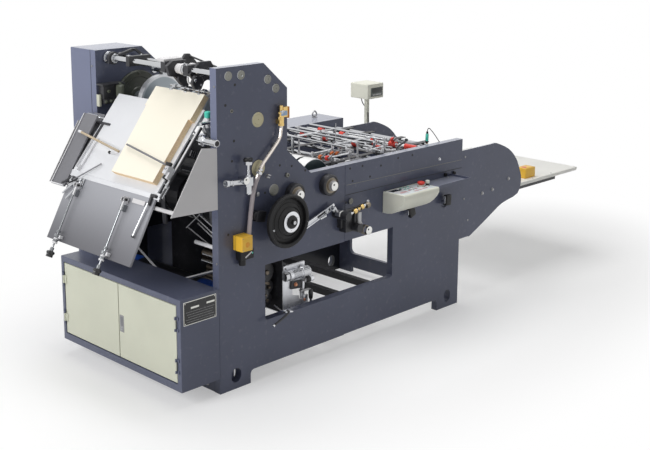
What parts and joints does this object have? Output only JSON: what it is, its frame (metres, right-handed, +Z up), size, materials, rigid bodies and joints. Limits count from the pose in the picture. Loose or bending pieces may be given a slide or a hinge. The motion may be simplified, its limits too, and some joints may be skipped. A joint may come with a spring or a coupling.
{
  "type": "envelope making machine",
  "caption": "Sheet-fed envelope making machine with feeder head on thick side plates, folding bed, feed-end cabinet with doors, hand wheel, console and delivery table.",
  "frame": {"origin": "middle of the underside of the floor beam at the feed end, on the floor", "axes": "+X from the feed end to the delivery end, +Z up, the operator stands on the -Y side"},
  "size_m": [3.4803, 1.291, 1.5],
  "materials": {
    "slate_paint": "satin slate grey paint",
    "cream_paint": "satin cream paint",
    "grey_sheet": "bare sheet steel",
    "dark_sheet": "dark painted sheet",
    "chrome_bar": "hard chrome",
    "turned_steel": "turned steel",
    "black_plastic": "black moulded plastic",
    "black_steel": "black paint",
    "paper": "stacked paper",
    "yellow_plastic": "yellow control box plastic",
    "red_plastic": "red plastic",
    "console_cream": "satin cream paint",
    "table_white": "matt off-white paint",
    "brass": "brass",
    "steel_pipe": "plated pipe",
    "blue_paint": "blue motor paint"
  },
  "bodies": {
    "machine": {"floor_beam_feed": "slate_paint", "side_plate_near": "slate_paint", "side_plate_far": "slate_paint", "wing_near": "slate_paint", "wing_far": "slate_paint", "gear_cover": "slate_paint", "tie_beam_feed": "black_steel", "tie_beam_delivery": "black_steel", "delivery_end_plate": "slate_paint", "inner_panel": "black_steel", "cabinet": "slate_paint", "front_tie_bars": "chrome_bar", "rear_tie_bars": "chrome_bar", "suction_drum": "chrome_bar", "pull_drum": "black_steel", "crease_roller": "turned_steel", "main_drum": "black_steel", "feed_board": "grey_sheet", "feed_tray": "grey_sheet", "side_board": "dark_sheet", "blank_stack": "paper", "side_guards": "grey_sheet", "lay_shaft": "chrome_bar", "adjusting_screw_near": "chrome_bar", "adjusting_screw_far": "chrome_bar", "air_pipe": "steel_pipe", "air_valve": "brass", "air_regulator": "black_plastic", "stop_box_near": "yellow_plastic", "clamp_bar": "chrome_bar", "wheel_boss": "black_steel", "hub_feed": "turned_steel", "hub_bed": "turned_steel", "slot_lever": "chrome_bar", "gum_height_unit": "black_steel", "console": "console_cream", "console_shelf": "slate_paint", "counter_box": "console_cream", "delivery_table": "table_white", "table_frame": "black_steel", "delivery_roller": "black_steel", "table_stop_box": "yellow_plastic", "folding_drum": "chrome_bar", "bed_cross_shafts": "chrome_bar", "bed_belts": "black_steel", "bed_upper_frame": "chrome_bar", "press_rollers_feed": "red_plastic", "press_rollers_delivery": "red_plastic", "gum_unit": "cream_paint", "drive_motor": "blue_paint"},
    "near_door": {"door_near": "cream_paint"},
    "far_door": {"door_far": "cream_paint"},
    "wheel": {"hand_wheel": "black_plastic"},
    "button": {"stop_button": "red_plastic"}
  },
  "joints": [
    {"name": "door_near_hinge", "type": "hinge", "parent": "machine", "child": "near_door", "pos_m": [-0.2875, -0.4435, 0.294], "axis": [0, 0, 1], "range_deg": [0, 110]},
    {"name": "door_far_hinge", "type": "hinge", "parent": "machine", "child": "far_door", "pos_m": [-0.2875, 0.4365, 0.294], "axis": [0, 0, -1], "range_deg": [0, 110]},
    {"name": "hand_wheel_turn", "type": "hinge", "parent": "machine", "child": "wheel", "pos_m": [0.29, -0.5185, 0.77], "axis": [0, 1, 0], "continuous": true},
    {"name": "stop_button_press", "type": "slide", "parent": "machine", "child": "button", "axis": [0, 0, -1], "range_m": [0, 0.004], "stiffness_N_per_m": 1500, "springref_m": -0.002}
  ]
}
